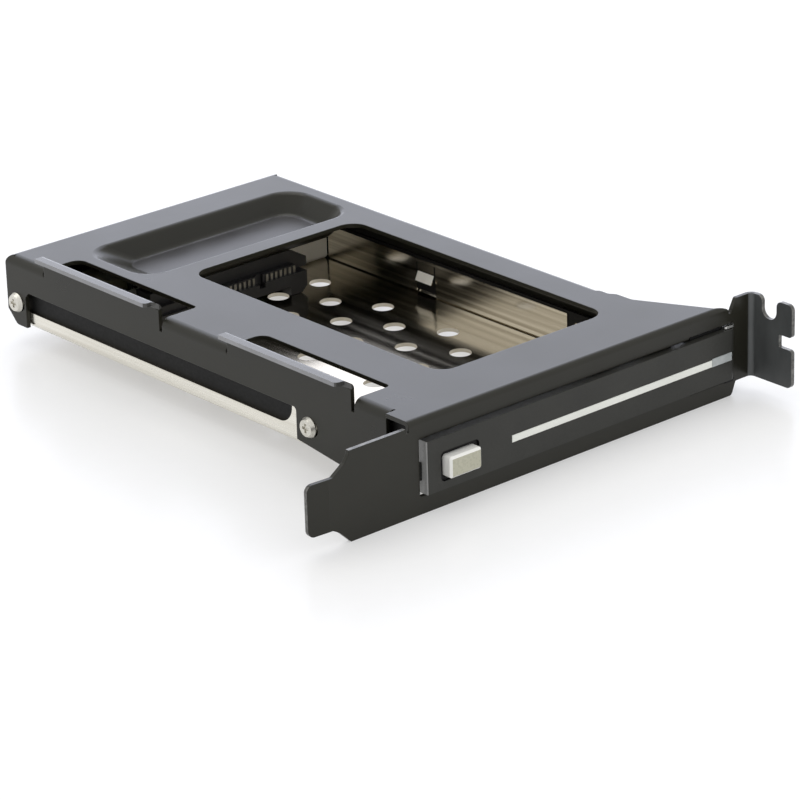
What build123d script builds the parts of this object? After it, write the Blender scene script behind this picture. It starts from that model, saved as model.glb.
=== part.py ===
"""Hard drive mobile rack for an expansion slot: folded casing, slot bracket, drive bay and hinged door.

X runs along the bracket towards the screw tab, Y runs into the computer, Z is up. Millimetres.
The origin is the lower left corner of the bracket plate, on its outer face.
"""

import math
import os

from build123d import *

os.makedirs("parts", exist_ok=True)

# Driving sizes: the bracket, the casing, and the drive between the casing's walls, with what lies beside it
bracket_length = 120.02
tongue_length = 10.2
casing_to_bracket_end = 18.92
casing_depth = 131.9
casing_top = 19.95
drive_width = 69.85
drive_side_gap = 0.25
strip_sheet = 0.2
rail_thickness = 0.475
pan_sheet = 0.8
pan_gap = 0.05
sheet = 0.9

plate_right = bracket_length - tongue_length
casing_right = plate_right - casing_to_bracket_end
casing_width = drive_width + 2 * (drive_side_gap + strip_sheet + rail_thickness + pan_sheet + pan_gap + sheet)
casing_left = casing_right - casing_width

# Casing and bracket plate, one folded black sheet
fold_radius = 2.0
front_fold_radius = 1.2
fold_notch_z = 17.85
fold_notch_width = 0.8
neck_notch_z = 18.2
plate_height = 18.8
wall_front_left = 7.2
wall_front_right = 21.0
rear_flange_bottom = 5.6
front_fold_left = casing_left - 0.5
front_fold_right = plate_right - 7.52
flare_end = front_fold_right - 3.1

# Tongue at the left end of the bracket
tongue_low = 3.6
tongue_high = 14.35
tongue_bend_x = -5.2
tongue_bend_angle = 4.0
tongue_corner = 1.5

# Screw tab at the right end of the bracket
tab_depth = 11.43
tab_low = 2.9
tab_high = 21.15
tab_corner = 1.3
tab_bend_radius = 2.0
screw_notch_width = 4.1
screw_notch_y = -5.05
screw_notch_bottom = 16.6
side_notch_low = 11.3
side_notch_high = 14.05
side_notch_depth = 3.6

# Window, side cut-outs and lifted lips of the casing top
window_left = casing_left + 20.9
window_right = casing_right - 9
window_front = 14.8
window_rear = casing_depth - 38.1
window_corner = 4.0
cutout_right = casing_left + 9.4
cutout_corner = 2.5
cutout_front_gap = 0.9
lip_spans = ((17.5, 55.8), (casing_depth - 53.8, casing_depth - 14.1))
lip_top = 23.0
lip_reach = 2.2
lip_setback = 1.8
relief_bottom = 17.6

# Pressed recess behind the window
dish_left = casing_left + 12.3
dish_right = casing_right - 5.1
dish_front = casing_depth - 33.1
dish_rear = casing_depth - 11.5
dish_depth = 4.4
dish_sheet = 0.8
dish_floor_left = dish_left + 9
dish_floor_right = dish_right - 3
dish_floor_front = dish_front + 2.4
dish_floor_rear = dish_rear - 2.2
dish_corner = 6.0
dish_rim_radius = 1.2
dish_floor_radius = 1.4

# Lower edge of the side walls
ear_front_y = 34.6
ear_rear_y = casing_depth - 6.6
wall_cut_z = 12.85
ear_front_low = 6.1
wall_front_low = 2.7
ear_rear_low = 4.6
ear_rear_corner = 3.0

# Steel pan that carries the drive
pan_bottom = 4.3
pan_fold_radius = 1.7
pan_front = 2.6
pan_wall_front = 9.0
pan_rear = casing_depth - 1.3
pan_wall_top = 13.0
pan_slot_low = 8.0
pan_slot_front = 37.0
pan_slot_rear = casing_depth - 5.4
pan_slot_corner = 4.0
floor_hole_diameter = 4.8
floor_hole_pitch_x = 11.9
floor_hole_pitch_y = 10.54
floor_hole_first_y = 16.1
floor_hole_rows = 9
floor_hole_reach = 28.0

# Guide rails and sprung side strips
rail_front = 3.0
rail_top = 13.6
rail_lead_rear = 12.0
rail_lead_top = 18.8
rail_bevel = 0.25
rail_bevel_length = 1.5
rail_rear = casing_depth - 3.9
strip_front = 33.5
strip_rear = casing_depth - 21
finger_y = 75.4
finger_width = 5.2
finger_top = 12.3
finger_bend_z = 10.2
finger_tip_z = 8.2
finger_reach = 0.9
finger_slit = 0.5

# Plate that closes the bay beside the circuit board
stop_sheet = 0.8
stop_front = casing_depth - 20.7
stop_top = 14.6
stop_foot = 3.0
stop_left = casing_right - 16.6

# Circuit board
board_thickness = 1.6
board_bottom = 7.4
board_left = casing_left + 3.9
board_right = casing_right - 3.9
board_front = casing_depth - 27.5
board_rear = casing_depth - 1.1
board_step_x = casing_right - 16.9
board_step_y = board_front + 8.2
standoff_diameter = 4.5
standoff_inset = 4.0
board_screw_diameter = 2.0
board_screw_head = 4.0
board_screw_head_height = 1.2

# Parts on the board that stand beside the rear data connector or have legs
inductor_gap = 5.0
inductor_width = 5.5
inductor_length = 9.8
inductor_setback = 1.5
chip_lead_pitch = 1.27

# Connector in the bay
bay_connector_front = board_front - 5.8
bay_connector_left = casing_left + 14.3
bay_connector_right = bay_connector_left + 42
bay_undercut_top = 7.3
bay_lower_top = 10.0
bay_tongue_top = 11.8
bay_block_top = 14.6
bay_block_right = bay_connector_right + 2
bay_shoulder_width = 4.6
bay_shoulder_z = 12.1
bay_contact_pitch = 1.27
bay_contact_count = 22
bay_power_contacts = 15
bay_contact_split = 2.5

# Connectors at the rear
data_connector_x = casing_right - 46.9
data_connector_width = 16.6
data_contact_count = 7
power_connector_x = casing_right - 28.5
power_connector_width = 24.4
power_contact_count = 15
rear_connector_height = 5.6
rear_connector_front = casing_depth - 10.9
rear_connector_rear = casing_depth - 1
rear_cavity_depth = 6.2
rear_connector_wall = 1.1
rear_tongue_thickness = 1.3
rear_contact_pitch = 1.27
rear_opening_gap = 0.5

# Side screws
side_screw_diameter = 3.0
side_screw_head = 4.4
side_screw_head_height = 0.9
side_screw_length = 3.6
side_screw_z = 9.7
side_screw_ys = (30.8, casing_depth - 3.3)
side_slot_length = 4.4
side_slot_width = 3.3
screw_recess_width = 0.6
screw_recess_depth = 0.35

# Door opening and door
opening_gap_side = 0.9
opening_gap_top = 0.8
opening_gap_edge = 0.45
opening_gap_hinge = 0.5
door_left = casing_left + 2.8
door_right = plate_right - 6.72
door_low = 4.2
door_high = 15.3
door_proud = 1.3
door_inner_y = 1.4
door_face = 1.1
door_rim = 1.0
door_back_sheet = 0.4
door_edge_radius = 0.35
hinge_radius = 1.3
hinge_pin_diameter = 1.0
hinge_hole_gap = 0.04
hinge_pin_depth = 3.0

# Hinge bracket behind the bracket plate
lug_thickness = 0.5
lug_gap = 0.15
lug_rear = 6.0
lug_left = door_right - 11.9
lug_front = 0.1
lug_nose = -0.8
hinge_base_left = door_right + 0.8
hinge_base_right = door_right + 4.5

# Light strip and its end window
strip_left = door_left + 22.1
window_piece_left = door_right - 6.9
light_low = 8.6
light_high = 10.15
light_depth = 0.8
light_proud = 0.15
window_piece_extra = 0.25
window_stem_width = 2.4

# Button and latch
button_left = door_left + 4.4
button_right = button_left + 8.2
button_low = 6.75
button_high = 11.25
button_proud = 1.9
button_gap = 0.15
button_edge_radius = 0.6
button_bevel = 0.45
button_flange = 0.7
button_flange_sheet = 0.53
button_play = 0.03
cam_chamfer = 0.4
cam_gap = 0.05
recess_margin = 0.9
recess_depth = 0.45
latch_gap = 0.06
latch_side_gap = 0.15
latch_nose_x = door_left - 0.55
latch_nose_front = 0.5
latch_nose_low = 7.4
latch_nose_high = 10.4
latch_right = button_right + 4.1
latch_leg_width = 1.4
catch_sheet = 0.2
catch_left = door_left - 8
catch_tip_x = door_left - 0.15
catch_tip_y = 0.2
catch_low = 7.0
catch_high = 10.8
spring_wire = 0.25
spring_length = 7.5
spring_bars = 9
spring_gap = 0.02
spring_low = 8.2
spring_high = 10.5
spring_side_gap = 0.3
spring_rib = 1.0

# Screws of the door's back plate
door_screw_xs = (door_left + 29.5, door_right - 11.6)
door_screw_zs = (6.6, 12.8)
door_boss_diameter = 2.4
door_screw_diameter = 1.0
door_screw_head = 2.0

# Status light board behind the hinge end of the door
led_board_thickness = 1.0
led_holder_front = 2.2
led_holder_rear = 6.0
led_holder_left = door_right - 10.3
led_holder_right = door_right - 3.5
led_wall = 0.8
led_width = 1.8
led_depth = 1.2
led_spacing = 2.8

inner_top = casing_top - sheet
pan_left = casing_left + sheet + pan_gap
pan_right = casing_right - sheet - pan_gap
pan_floor = pan_bottom + pan_sheet
bay_middle = (pan_left + pan_right) / 2
bay_left = bay_middle - drive_width / 2 - drive_side_gap
bay_right = bay_middle + drive_width / 2 + drive_side_gap
opening_left = door_left - opening_gap_side
opening_right = door_right + opening_gap_hinge
opening_low = door_low - opening_gap_top
opening_high = door_high + opening_gap_top
door_outer_y = -door_proud
pocket_front = door_outer_y + door_face
hinge_x = door_right - hinge_radius
hinge_y = door_outer_y + hinge_radius
board_top = board_bottom + board_thickness
latch_low = door_low + door_rim + latch_side_gap
latch_high = door_high - door_rim - latch_side_gap
lug_top_low = door_high + lug_gap
lug_bottom_high = door_low - lug_gap


def outline(points, plane=Plane.XY):
    """A closed face from (u, v) or (u, v, corner radius) points, laid on a plane."""
    count = len(points)
    corners = []
    for i, point in enumerate(points):
        here = Vector(point[0], point[1])
        radius = point[2] if len(point) > 2 else 0.0
        if radius == 0:
            corners.append((here, here, None))
            continue
        back = Vector(*points[i - 1][:2]) - here
        ahead = Vector(*points[(i + 1) % count][:2]) - here
        half = math.radians(back.get_angle(ahead)) / 2
        run = radius / math.tan(half)
        first = here + back.normalized() * run
        last = here + ahead.normalized() * run
        bisector = (back.normalized() + ahead.normalized()).normalized()
        middle = here + bisector * (radius / math.sin(half) - radius)
        corners.append((first, last, middle))
    edges = []
    for i, (first, last, middle) in enumerate(corners):
        if middle is not None:
            edges.append(Edge.make_three_point_arc(first, middle, last))
        following = corners[(i + 1) % count][0]
        if (following - last).length > 1e-6:
            edges.append(Edge.make_line(last, following))
    return plane * Face(Wire(edges))


def across_x(points, x0, x1):
    """Extrudes a (y, z) outline from x0 to x1."""
    face = outline(points, Plane((x0, 0, 0), x_dir=(0, 1, 0), z_dir=(1, 0, 0)))
    return Solid.extrude(face, Vector(x1 - x0, 0, 0))


def across_y(points, y0, y1):
    """Extrudes an (x, z) outline from y0 to y1."""
    face = outline(points, Plane((0, y0, 0), x_dir=(1, 0, 0), z_dir=(0, -1, 0)))
    return Solid.extrude(face, Vector(0, y1 - y0, 0))


def across_z(points, z0, z1):
    """Extrudes an (x, y) outline from z0 to z1."""
    face = outline(points, Plane((0, 0, z0)))
    return Solid.extrude(face, Vector(0, 0, z1 - z0))


def block(x0, x1, y0, y1, z0, z1):
    """A box between two corners."""
    return across_z([(x0, y0), (x1, y0), (x1, y1), (x0, y1)], z0, z1)


def rounded_rectangle(u0, u1, v0, v1, radius):
    """Outline points of a rectangle with rounded corners."""
    return [(u0, v0, radius), (u1, v0, radius), (u1, v1, radius), (u0, v1, radius)]


def rod(start, direction, radius, length):
    """A round bar from a point along a direction."""
    return Solid.make_cylinder(radius, length, Plane(origin=start, z_dir=direction))


def merge(pieces):
    """One solid from pieces that overlap or share faces."""
    first, *others = pieces
    joined = first.fuse(*others) if others else first
    return joined.clean() if hasattr(joined, "clean") else joined


def cut(body, tools):
    """A body with each tool taken away."""
    return body.cut(*tools)


def as_shape(result):
    """A single shape from the list that a boolean may return."""
    if isinstance(result, (list, ShapeList)):
        return Compound(children=list(result)) if len(result) > 1 else result[0]
    return result


def save(name, shape):
    """Writes one node."""
    export_step(as_shape(shape), f"parts/{name}.step")


def front_fold():
    """The fold between the casing top and the bracket plate."""
    inside = front_fold_radius - sheet
    profile = [
        (0, casing_top - front_fold_radius),
        (0, casing_top, front_fold_radius),
        (front_fold_radius, casing_top),
        (front_fold_radius, inner_top),
        (sheet, inner_top, inside),
        (sheet, casing_top - front_fold_radius),
    ]
    return across_x(profile, front_fold_left, front_fold_right)


def top_sheet():
    """The flat part of the casing top, flared towards the screw tab."""
    left = casing_left + fold_radius
    right = casing_right - fold_radius
    flare_root = casing_right - 0.4
    points = [
        (front_fold_left, front_fold_radius),
        (front_fold_left, wall_front_left - 0.6),
        (left, wall_front_left - 0.6),
        (left, casing_depth - fold_radius),
        (right, casing_depth - fold_radius),
        (right, 26.0),
        (flare_root - 0.5, 25.4, 1.5),
        (flare_root - 0.5, 22.6, 1.5),
        (flare_root + 0.5, 21.2, 1.2),
        (flare_root + 0.5, 16.8, 3.0),
        (flare_end, front_fold_radius),
    ]
    return across_z(points, inner_top, casing_top)


def fold_end_cut():
    """Takes the slanted right end off the front fold, in line with the flare."""
    points = [
        (flare_end, front_fold_radius),
        (front_fold_right, 0),
        (front_fold_right + 1, 0),
        (front_fold_right + 1, front_fold_radius + 1),
        (flare_end, front_fold_radius + 1),
    ]
    return across_z(points, casing_top - front_fold_radius, casing_top + 1)


def rear_corner_cut(low, high):
    """Rounds a side wall's upper rear corner in line with the rear flange's fold."""
    bend = casing_depth - fold_radius
    points = [
        (bend, casing_top + 1),
        (bend, casing_top),
        (casing_depth, casing_top, fold_radius),
        (casing_depth, casing_top - fold_radius),
        (casing_depth + 1, casing_top - fold_radius),
        (casing_depth + 1, casing_top + 1),
    ]
    return across_x(points, low, high)


def side_wall(outer, inner, centre_sign, front):
    """One side wall with its fold; centre_sign points from the wall to the casing's middle."""
    bend = outer + centre_sign * fold_radius
    inside = fold_radius - sheet
    profile = [
        (outer, 0.0),
        (outer, casing_top, fold_radius),
        (bend, casing_top),
        (bend, inner_top),
        (inner, inner_top, inside),
        (inner, 0.0),
    ]
    wall = across_y(profile, front, casing_depth)
    low, high = min(outer, inner, bend) - 1, max(outer, inner, bend) + 1
    below = [
        (front - 1, -1.0),
        (front - 1, wall_front_low),
        (21.4, 4.5),
        (ear_front_y, ear_front_low),
        (ear_front_y, wall_cut_z, 0.8),
        (ear_rear_y - 1.2, wall_cut_z, 1.0),
        (ear_rear_y, wall_cut_z - 1.2, 0.8),
        (ear_rear_y, ear_rear_low),
        (casing_depth - ear_rear_corner, ear_rear_low, 1.5),
        (casing_depth, ear_rear_low + ear_rear_corner),
        (casing_depth + 1, ear_rear_low + ear_rear_corner),
        (casing_depth + 1, -1.0),
    ]
    if front > 21.4:
        below.pop(2)
    return as_shape(cut(wall, [across_x(below, low, high), rear_corner_cut(low, high)]))


def rear_flange():
    """The folded-down rear end with openings for the rear connectors."""
    inside = fold_radius - sheet
    rear = casing_depth
    profile = [
        (rear, rear_flange_bottom),
        (rear, casing_top, fold_radius),
        (rear - fold_radius, casing_top),
        (rear - fold_radius, inner_top),
        (rear - sheet, inner_top, inside),
        (rear - sheet, rear_flange_bottom),
    ]
    flange = across_x(profile, casing_left + sheet + 0.1, casing_right - sheet - 0.1)
    openings = []
    for x, width in ((data_connector_x, data_connector_width), (power_connector_x, power_connector_width)):
        points = rounded_rectangle(
            x - rear_opening_gap,
            x + width + rear_opening_gap,
            board_top - rear_opening_gap,
            board_top + rear_connector_height + rear_opening_gap,
            0.5,
        )
        openings.append(across_y(points, rear - 3, rear + 1))
    return cut(flange, openings)


def bracket_plate():
    """The flat bracket plate with its tongue and the neck of the screw tab."""
    neck = plate_right - tab_bend_radius
    top_of_flat = casing_top - front_fold_radius
    points = [
        (0, 0),
        (neck - 4.52, 0, 1.0),
        (neck - 3.42, tab_low, 0.5),
        (neck, tab_low),
        (neck, tab_high),
        (neck - 3.32, tab_high, 0.5),
        (neck - 4.92, neck_notch_z, 0.4),
        (front_fold_right, neck_notch_z),
        (front_fold_right, top_of_flat),
        (front_fold_left, top_of_flat),
        (front_fold_left, fold_notch_z),
        (front_fold_left - fold_notch_width, fold_notch_z, 0.2),
        (front_fold_left - fold_notch_width, plate_height),
        (0.1, plate_height),
        (0, plate_height - 0.9, 0.6),
        (-1.0, 16.5, 0.8),
        (-4.1, tongue_high, 0.8),
        (tongue_bend_x, tongue_high),
        (tongue_bend_x, tongue_low),
        (-4.4, tongue_low, 0.6),
        (-2.8, 2.7, 0.6),
    ]
    return across_y(points, 0, sheet)


def tongue():
    """The bent tongue that drops behind the computer's frame."""
    root = tongue_bend_x + 0.2
    flat_length = (tongue_length + tongue_bend_x) / math.cos(math.radians(tongue_bend_angle))
    tip = tongue_bend_x - flat_length
    points = [
        (tip, tongue_low, tongue_corner),
        (root, tongue_low),
        (root, tongue_high),
        (tip, tongue_high, tongue_corner),
    ]
    flat = across_y(points, 0, sheet)
    hinge = Axis((tongue_bend_x, 0, 0), (0, 0, 1))
    return flat.rotate(hinge, -tongue_bend_angle)


def screw_tab():
    """The tab folded outwards with its screw notch and side notch."""
    inner = plate_right - sheet
    neck = plate_right - tab_bend_radius
    profile = [
        (neck, 0),
        (inner, 0, tab_bend_radius - sheet),
        (inner, -tab_depth),
        (plate_right, -tab_depth),
        (plate_right, sheet, tab_bend_radius),
        (neck, sheet),
    ]
    tab = across_z(profile, tab_low, tab_high)
    half = screw_notch_width / 2
    right_side = screw_notch_y - half
    left_side = screw_notch_y + half
    shape = [
        (2.0, tab_low),
        (2.0, tab_high),
        (left_side, tab_high, tab_corner),
        (left_side, screw_notch_bottom, half * 0.98),
        (right_side, screw_notch_bottom, half * 0.98),
        (right_side, tab_high, tab_corner),
        (-tab_depth, tab_high, tab_corner),
        (-tab_depth, side_notch_high, 0.8),
        (-tab_depth + side_notch_depth, side_notch_high, 0.3),
        (-tab_depth + side_notch_depth, side_notch_low, 0.3),
        (-tab_depth, side_notch_low, 0.8),
        (-tab_depth, tab_low, tab_corner),
    ]
    keep = across_x(shape, neck - 1, plate_right + 1)
    return as_shape(tab.intersect(keep))


def lifted_lip(front, rear):
    """A flap of the top that stands up at the left edge and folds outwards."""
    inside_x = casing_left + sheet
    wall = block(casing_left, inside_x, front, rear, relief_bottom - 1, lip_top - 1.4)
    profile = [
        (casing_left, lip_top - 1.4),
        (casing_left, lip_top - sheet, 0.5),
        (casing_left - lip_reach, lip_top - sheet),
        (casing_left - lip_reach, lip_top),
        (inside_x, lip_top, 1.4),
        (inside_x, lip_top - 1.4),
    ]
    lip = across_y(profile, front, rear)
    corner = across_z(
        [
            (casing_left - lip_reach - 1, front - 1),
            (casing_left + 0.4, front - 1),
            (casing_left - 0.1, front + lip_setback, 0.6),
            (casing_left - lip_reach, front + lip_setback, 1.1),
            (casing_left - lip_reach, front + 5),
            (casing_left - lip_reach - 1, front + 5),
        ],
        lip_top - sheet - 0.5,
        lip_top + 1,
    )
    return merge([wall, as_shape(cut(lip, [corner]))])


def side_cutout(front, rear):
    """The hole that a lifted flap leaves in the top and in the fold beside it."""
    inside_x = casing_left + sheet
    rear_edge = rear
    front_edge = front - cutout_front_gap
    hole = across_z(
        [
            (inside_x - 2.5, front_edge),
            (cutout_right, front_edge, cutout_corner * 0.4),
            (cutout_right, rear_edge, cutout_corner),
            (inside_x - 2.5, rear_edge),
        ],
        inner_top - 2.0,
        casing_top + 1,
    )
    relief = block(casing_left - 1, inside_x + 1.2, front_edge, front, relief_bottom, casing_top + 1)
    pinhole = rod((casing_left - 1, rear_edge, relief_bottom + 1.3), (1, 0, 0), 0.7, 3)
    return [hole, relief, pinhole]


def dish_shell():
    """The pressed recess as a solid floor with sloped sides, before it is hollowed."""
    wall = dish_sheet
    top = outline(
        rounded_rectangle(dish_left - wall, dish_right + wall, dish_front - wall, dish_rear + wall,
                          dish_corner + wall),
        Plane((0, 0, inner_top)),
    )
    low = outline(
        rounded_rectangle(dish_floor_left - wall, dish_floor_right + wall, dish_floor_front - wall,
                          dish_floor_rear + wall, dish_corner - 1.5 + wall),
        Plane((0, 0, casing_top - dish_depth - wall)),
    )
    shell = Solid.make_loft([top.outer_wire(), low.outer_wire()], True)
    return soft_floor(shell, dish_floor_radius + wall)


def dish_hollow():
    """The space inside the pressed recess."""
    lift = 0.6
    slope = lift / dish_depth
    top = outline(
        rounded_rectangle(
            dish_left - (dish_floor_left - dish_left) * slope,
            dish_right + (dish_right - dish_floor_right) * slope,
            dish_front - (dish_floor_front - dish_front) * slope,
            dish_rear + (dish_rear - dish_floor_rear) * slope,
            dish_corner,
        ),
        Plane((0, 0, casing_top + lift)),
    )
    low = outline(
        rounded_rectangle(dish_floor_left, dish_floor_right, dish_floor_front, dish_floor_rear,
                          dish_corner - 1.5),
        Plane((0, 0, casing_top - dish_depth)),
    )
    hollow = Solid.make_loft([top.outer_wire(), low.outer_wire()], True)
    return soft_floor(hollow, dish_floor_radius)


def soft_floor(solid, radius):
    """Rounds the edges of a solid's lowest face."""
    return solid.fillet(radius, solid.faces().sort_by(Axis.Z)[0].edges())


def window_cut():
    """The large window in the casing top."""
    points = rounded_rectangle(window_left, window_right, window_front, window_rear, window_corner)
    return across_z(points, inner_top - 1, casing_top + 1)


def door_opening_cut():
    """The opening in the bracket plate that the door closes, wider at the hinge bracket's lugs."""
    step_x = lug_left - 0.3
    edge_low = door_low - opening_gap_edge
    edge_high = door_high + opening_gap_edge
    points = [
        (opening_left, edge_low, 0.3),
        (step_x, edge_low),
        (step_x, opening_low),
        (opening_right, opening_low, 0.3),
        (opening_right, opening_high, 0.3),
        (step_x, opening_high),
        (step_x, edge_high),
        (opening_left, edge_high, 0.3),
    ]
    return across_y(points, -1, sheet + 1)


def side_slots(outer_x):
    """Slots for the side screws in one side wall."""
    tools = []
    for y in side_screw_ys:
        half = side_slot_width / 2
        points = rounded_rectangle(y + half - side_slot_length, y + half, side_screw_z - half,
                                   side_screw_z + half, half * 0.99)
        tools.append(across_x(points, outer_x - 2, outer_x + 2))
    return tools


def cover():
    """The folded black sheet: casing top, side walls, rear flange, bracket plate, tongue and tab."""
    left_wall = side_wall(casing_left, casing_left + sheet, 1, wall_front_left)
    right_wall = side_wall(casing_right, casing_right - sheet, -1, wall_front_right)
    body = merge([
        top_sheet(), front_fold(), left_wall, right_wall, as_shape(rear_flange()),
        bracket_plate(), tongue(), screw_tab(),
    ])
    tools = [window_cut(), door_opening_cut(), fold_end_cut()]
    for front, rear in lip_spans:
        tools += side_cutout(front, rear)
    tools += side_slots(casing_left) + side_slots(casing_right)
    body = as_shape(cut(body, tools))
    lips = [lifted_lip(front, rear) for front, rear in lip_spans]
    body = merge([body, dish_shell(), *lips])
    body = as_shape(cut(body, [dish_hollow()]))
    return soften_dish(body)


def soften_dish(body):
    """Rounds the rim and the floor edge of the pressed recess."""
    rim = []
    for edge in body.edges():
        box = edge.bounding_box()
        inside = box.min.X > dish_left - 1 and box.max.X < dish_right + 1
        inside = inside and box.min.Y > dish_front - 1 and box.max.Y < dish_rear + 1
        if inside and box.min.Z > casing_top - 0.02 and box.max.Z < casing_top + 0.02:
            rim.append(edge)
    return body.fillet(dish_rim_radius, rim) if rim else body


def floor_holes():
    """Staggered round holes in the pan floor."""
    tools = []
    for row in range(floor_hole_rows):
        y = floor_hole_first_y + row * floor_hole_pitch_y
        shift = 0 if row % 2 == 0 else floor_hole_pitch_x / 2
        columns = int(floor_hole_reach / floor_hole_pitch_x) + 1
        for k in range(-columns, columns + 1):
            x = bay_middle + shift + k * floor_hole_pitch_x
            if abs(x - bay_middle) < floor_hole_reach:
                tools.append(rod((x, y, pan_bottom - 1), (0, 0, 1), floor_hole_diameter / 2, pan_sheet + 2))
    return tools


def pan():
    """The folded steel pan: drive floor, side walls with long slots, and vent holes."""
    inside = pan_fold_radius - pan_sheet
    profile = [
        (pan_left, pan_wall_top),
        (pan_left, pan_bottom, pan_fold_radius),
        (pan_right, pan_bottom, pan_fold_radius),
        (pan_right, pan_wall_top),
        (pan_right - pan_sheet, pan_wall_top),
        (pan_right - pan_sheet, pan_floor, inside),
        (pan_left + pan_sheet, pan_floor, inside),
        (pan_left + pan_sheet, pan_wall_top),
    ]
    body = across_y(profile, pan_front, pan_rear)
    slot = [
        (pan_slot_front, pan_slot_low, pan_slot_corner),
        (pan_slot_rear, pan_slot_low, pan_slot_corner * 0.5),
        (pan_slot_rear, pan_wall_top + 1),
        (pan_slot_front, pan_wall_top + 1),
    ]
    front_corner = [
        (pan_front - 1, pan_floor + 0.9),
        (pan_wall_front, pan_floor + 0.9, 1.0),
        (pan_wall_front, pan_wall_top + 1),
        (pan_front - 1, pan_wall_top + 1),
    ]
    tools = [across_x(slot, pan_left - 1, pan_right + 1), across_x(front_corner, pan_left - 1, pan_right + 1)]
    tools += floor_holes()
    for y in side_screw_ys:
        tools.append(rod((pan_left - 1, y, side_screw_z), (1, 0, 0), side_screw_diameter / 2, casing_width))
    for x, y in board_screw_points():
        tools.append(rod((x, y, pan_bottom - 1), (0, 0, 1), board_screw_diameter / 2 + 0.4, 3))
    return cut(body, tools)


def guide_rail(pan_face, bay_face):
    """A plastic rail between a pan wall and the drive's side, raised and bevelled at the bay's mouth."""
    low, high = sorted((pan_face, bay_face))
    outward = 1 if pan_face > bay_face else -1
    rail_low = pan_floor + pan_fold_radius - pan_sheet
    side_view = [
        (rail_front, rail_low),
        (rail_rear, rail_low),
        (rail_rear, rail_top),
        (rail_lead_rear + rail_lead_top - rail_top, rail_top),
        (rail_lead_rear, rail_lead_top),
        (rail_front, rail_lead_top),
    ]
    bevel = across_z(
        [
            (bay_face - outward * 0.1, rail_front - 0.1),
            (bay_face + outward * rail_bevel, rail_front - 0.1),
            (bay_face + outward * rail_bevel, rail_front),
            (bay_face, rail_front + rail_bevel_length),
            (bay_face - outward * 0.1, rail_front + rail_bevel_length),
        ],
        rail_low - 1, rail_lead_top + 1,
    )
    bores = [
        rod((low - 1, y, side_screw_z), (1, 0, 0), side_screw_diameter / 2 + 0.25, 4)
        for y in side_screw_ys
    ]
    return cut(across_x(side_view, low, high), [bevel, *bores])


def spring_strip(rail_face, inward):
    """A thin steel strip on a rail, with one sprung finger; inward is the direction of the bay."""
    inner = rail_face + inward * strip_sheet
    low, high = sorted((rail_face, inner))
    strip = block(low, high, strip_front, strip_rear, pan_floor + 0.3, pan_wall_top)
    gap = block(
        low - 1, high + 1, finger_y - finger_slit, finger_y + finger_width + finger_slit,
        pan_floor, finger_top,
    )
    strip = as_shape(cut(strip, [gap]))
    tip = inner + inward * finger_reach
    finger = across_y(
        [
            (rail_face, finger_top + 0.1),
            (rail_face, finger_bend_z),
            (tip - inward * strip_sheet, finger_tip_z),
            (tip, finger_tip_z),
            (inner, finger_bend_z),
            (inner, finger_top + 0.1),
        ],
        finger_y, finger_y + finger_width,
    )
    return merge([strip, finger])


def rear_stop():
    """The steel plate that closes the bay to the right of the circuit board, with a foot on the pan floor."""
    right = bay_right - 0.2
    rear = stop_front + stop_sheet
    profile = [
        (stop_front, stop_top),
        (stop_front, pan_floor, stop_sheet + 0.4),
        (stop_front + stop_foot, pan_floor),
        (stop_front + stop_foot, pan_floor + stop_sheet),
        (rear, pan_floor + stop_sheet, 0.4),
        (rear, stop_top),
    ]
    return across_x(profile, stop_left, right)


def board_screw_points():
    """Centres of the four board screws."""
    left = board_left + standoff_inset
    near = board_front + standoff_inset
    far = rear_connector_front - standoff_inset
    return [
        (left, near),
        (board_step_x - standoff_inset, near),
        (left, far),
        (board_right - standoff_inset, far),
    ]


def backplane_board():
    """The circuit board, stepped back beside the rear plate, with its screw holes."""
    points = [
        (board_left, board_front, 1.0),
        (board_step_x, board_front, 0.5),
        (board_step_x, board_step_y, 0.3),
        (board_right, board_step_y, 0.5),
        (board_right, board_rear, 1.0),
        (board_left, board_rear, 1.0),
    ]
    body = across_z(points, board_bottom, board_top)
    holes = [
        rod((x, y, board_bottom - 1), (0, 0, 1), board_screw_diameter / 2 + 0.15, board_thickness + 2)
        for x, y in board_screw_points()
    ]
    return cut(body, holes)


def standoffs():
    """Brass spacers between the pan floor and the board."""
    pieces = []
    for x, y in board_screw_points():
        post = rod((x, y, pan_floor), (0, 0, 1), standoff_diameter / 2, board_bottom - pan_floor)
        bore = rod((x, y, pan_floor - 1), (0, 0, 1), board_screw_diameter / 2, board_bottom - pan_floor + 2)
        pieces.append(as_shape(cut(post, [bore])))
    return Compound(children=pieces)


def cross_recess(x, y, z, direction):
    """Two crossed slots for the driver, sunk from a screw's face."""
    half = board_screw_head * 0.3
    width = 0.35
    return [
        block(x - half, x + half, y - width, y + width, z - direction * 0.6, z + 0.5),
        block(x - width, x + width, y - half, y + half, z - direction * 0.6, z + 0.5),
    ]


def board_screws():
    """Screws that hold the board on its spacers."""
    pieces = []
    shank_length = board_thickness + (board_bottom - pan_floor) - 0.2
    for x, y in board_screw_points():
        head = rod((x, y, board_top), (0, 0, 1), board_screw_head / 2, board_screw_head_height)
        shank_radius = board_screw_diameter / 2 - 0.02
        shank = rod((x, y, board_top - shank_length), (0, 0, 1), shank_radius, shank_length)
        screw = merge([head, shank])
        top = board_top + board_screw_head_height
        pieces.append(as_shape(cut(screw, cross_recess(x, y, top, 1))))
    return Compound(children=pieces)


def bay_contact_x(i):
    """Centre of one contact of the bay connector, with a wider step between the two groups."""
    last = bay_connector_right - 3.0
    steps = bay_contact_count - 1 - i
    split = bay_contact_split if i < bay_power_contacts else 0
    return last - steps * bay_contact_pitch - split


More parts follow.
